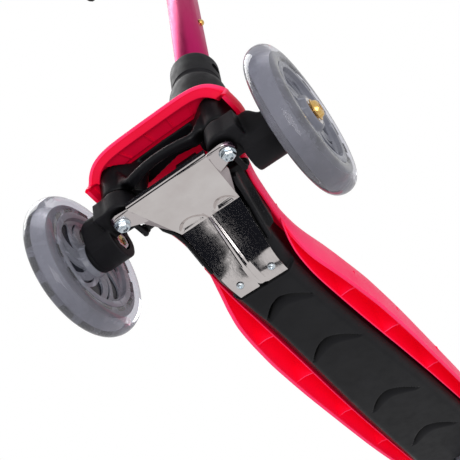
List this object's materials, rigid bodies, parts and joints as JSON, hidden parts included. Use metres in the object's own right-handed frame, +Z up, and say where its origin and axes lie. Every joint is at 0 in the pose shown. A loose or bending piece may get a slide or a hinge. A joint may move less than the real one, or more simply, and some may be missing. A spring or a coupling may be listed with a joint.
{
  "type": "kick scooter",
  "caption": "Child's lean-to-steer kick scooter: moulded deck and hood over a black beam, clear front wheels on knuckles, rear brake and a telescopic T-bar.",
  "frame": {"origin": "on the floor, midway along the length and on the centre plane", "axes": "+X forward, +Y to the rider's left, +Z up; the wheels stand on z = 0"},
  "size_m": [0.605, 0.303, 0.7193],
  "materials": {
    "shell_pink": "satin moulded",
    "black_plastic": "satin moulded",
    "steel": "polished",
    "zinc": "bright zinc",
    "gold_zinc": "yellow zinc",
    "tube_magenta": "satin",
    "aluminium": "satin",
    "wheel_core": "clear",
    "wheel_tyre": "clear",
    "grip_rubber": "matte"
  },
  "bodies": {
    "deck": {"deck_shell": "shell_pink", "chassis_beam": "black_plastic", "head_frame": "black_plastic", "base_plate": "steel", "plate_screw_left": "zinc", "plate_screw_right": "zinc", "kingpin_left": "zinc", "kingpin_right": "zinc", "lean_pin": "zinc", "rear_axle_bolt": "zinc", "rear_axle_nut": "zinc", "brake_pin": "zinc"},
    "column": {"column_housing": "black_plastic", "column_collar": "black_plastic", "collar_bolt": "zinc", "stub_tube": "aluminium"},
    "snap_button": {"snap_button": "gold_zinc"},
    "stem": {"stem_tube": "tube_magenta", "height_clamp": "black_plastic", "clamp_bolt": "zinc"},
    "clamp_lever": {"clamp_lever": "black_plastic"},
    "handlebar": {"upper_tube": "aluminium", "handlebar": "tube_magenta", "bar_tee": "black_plastic", "grip_left": "grip_rubber", "grip_right": "grip_rubber"},
    "tie_bar": {"tie_bar": "black_plastic"},
    "knuckle_left": {"knuckle_left": "black_plastic", "axle_bolt_left": "gold_zinc", "axle_nut_left": "zinc"},
    "knuckle_right": {"knuckle_right": "black_plastic", "axle_bolt_right": "gold_zinc", "axle_nut_right": "zinc"},
    "front_wheel_left": {"front_wheel_left_core": "wheel_core", "front_wheel_left_tyre": "wheel_tyre", "front_wheel_left_bearing_in": "steel", "front_wheel_left_bearing_out": "steel"},
    "front_wheel_right": {"front_wheel_right_core": "wheel_core", "front_wheel_right_tyre": "wheel_tyre", "front_wheel_right_bearing_in": "steel", "front_wheel_right_bearing_out": "steel"},
    "rear_wheel": {"rear_wheel_core": "wheel_core", "rear_wheel_tyre": "wheel_tyre", "rear_wheel_bearing_in": "steel", "rear_wheel_bearing_out": "steel"},
    "brake": {"brake_fender": "black_plastic"}
  },
  "joints": [
    {"name": "lean", "type": "hinge", "parent": "deck", "child": "column", "pos_m": [0.199, 0, 0.092], "axis": [1, 0, 0], "range_deg": [-15, 15], "stiffness_Nm_per_rad": 25},
    {"name": "tie_bar_shift", "type": "slide", "parent": "deck", "child": "tie_bar", "axis": [0, 1, 0], "range_m": [-0.0068, 0.0068]},
    {"name": "steer_left", "type": "hinge", "parent": "deck", "child": "knuckle_left", "pos_m": [0.2609, 0.0475, 0.072], "axis": [0, 0, 1], "range_deg": [-15, 15]},
    {"name": "steer_right", "type": "hinge", "parent": "deck", "child": "knuckle_right", "pos_m": [0.2609, -0.0475, 0.072], "axis": [0, 0, 1], "range_deg": [-15, 15]},
    {"name": "front_wheel_left_spin", "type": "hinge", "parent": "knuckle_left", "child": "front_wheel_left", "pos_m": [0.2425, 0.09975, 0.06], "axis": [0, 1, 0], "continuous": true},
    {"name": "front_wheel_right_spin", "type": "hinge", "parent": "knuckle_right", "child": "front_wheel_right", "pos_m": [0.2425, -0.09975, 0.06], "axis": [0, 1, 0], "continuous": true},
    {"name": "rear_wheel_spin", "type": "hinge", "parent": "deck", "child": "rear_wheel", "pos_m": [-0.2625, 0, 0.04], "axis": [0, 1, 0], "continuous": true},
    {"name": "brake_press", "type": "hinge", "parent": "deck", "child": "brake", "pos_m": [-0.2185, 0, 0.072], "axis": [0, 1, 0], "range_deg": [-2.8, 0], "stiffness_Nm_per_rad": 3, "springref_deg": 8.59},
    {"name": "snap_button_press", "type": "slide", "parent": "column", "child": "snap_button", "axis": [0, -1, 0], "range_m": [0, 0.003], "stiffness_N_per_m": 400, "springref_m": -0.002},
    {"name": "stem_pull_off", "type": "slide", "parent": "column", "child": "stem", "axis": [-0.0976, 0, 0.9952], "range_m": [0, 0.1], "deforming": ["snap_button"]},
    {"name": "height_adjust", "type": "slide", "parent": "stem", "child": "handlebar", "axis": [-0.0976, 0, 0.9952], "range_m": [0, 0.14]},
    {"name": "clamp_lever_swing", "type": "hinge", "parent": "stem", "child": "clamp_lever", "pos_m": [0.12299, 0.0148, 0.58165], "axis": [0, 0, 1], "range_deg": [0, 120]}
  ],
  "couplings": [
    {"joint": "tie_bar_shift", "follows": "lean", "m_per_rad": 0.025},
    {"joint": "steer_left", "follows": "lean", "ratio": -0.94697},
    {"joint": "steer_right", "follows": "lean", "ratio": -0.94697}
  ]
}
